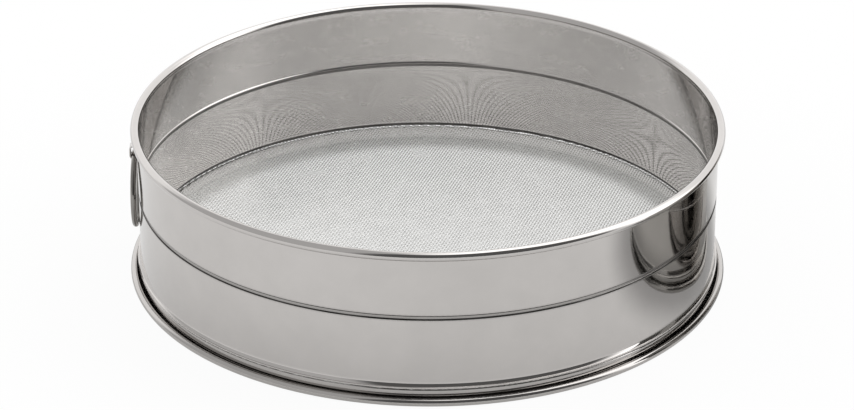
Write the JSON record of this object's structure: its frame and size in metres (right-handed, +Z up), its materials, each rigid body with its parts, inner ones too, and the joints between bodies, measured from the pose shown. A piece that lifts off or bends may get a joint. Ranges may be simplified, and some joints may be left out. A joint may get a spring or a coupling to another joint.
{
  "type": "drum sieve",
  "caption": "Round stainless steel drum sieve, or tamis, with a curled rim, a grooved wall, fine wire cloth clamped in a curled base ring, and a hanging ring in a strap loop.",
  "frame": {"origin": "on the sieve's axis, in the plane that the base ring stands on", "axes": "+Z up along the sieve's axis, -X towards the hanging ring"},
  "size_m": [0.3024, 0.3024, 0.0809],
  "materials": {
    "polished_steel": "polished",
    "wire_mesh": "satin",
    "ring_steel": "polished"
  },
  "bodies": {
    "frame": {"hoop": "polished_steel", "base_ring": "polished_steel", "wire_cloth": "wire_mesh", "ring_bracket": "polished_steel"},
    "ring": {"hanging_ring": "ring_steel"}
  },
  "joints": [
    {"name": "ring_swing", "type": "hinge", "parent": "frame", "child": "ring", "pos_m": [-0.14775, 0, 0.06134], "axis": [0, 1, 0], "range_deg": [0, 165]}
  ]
}
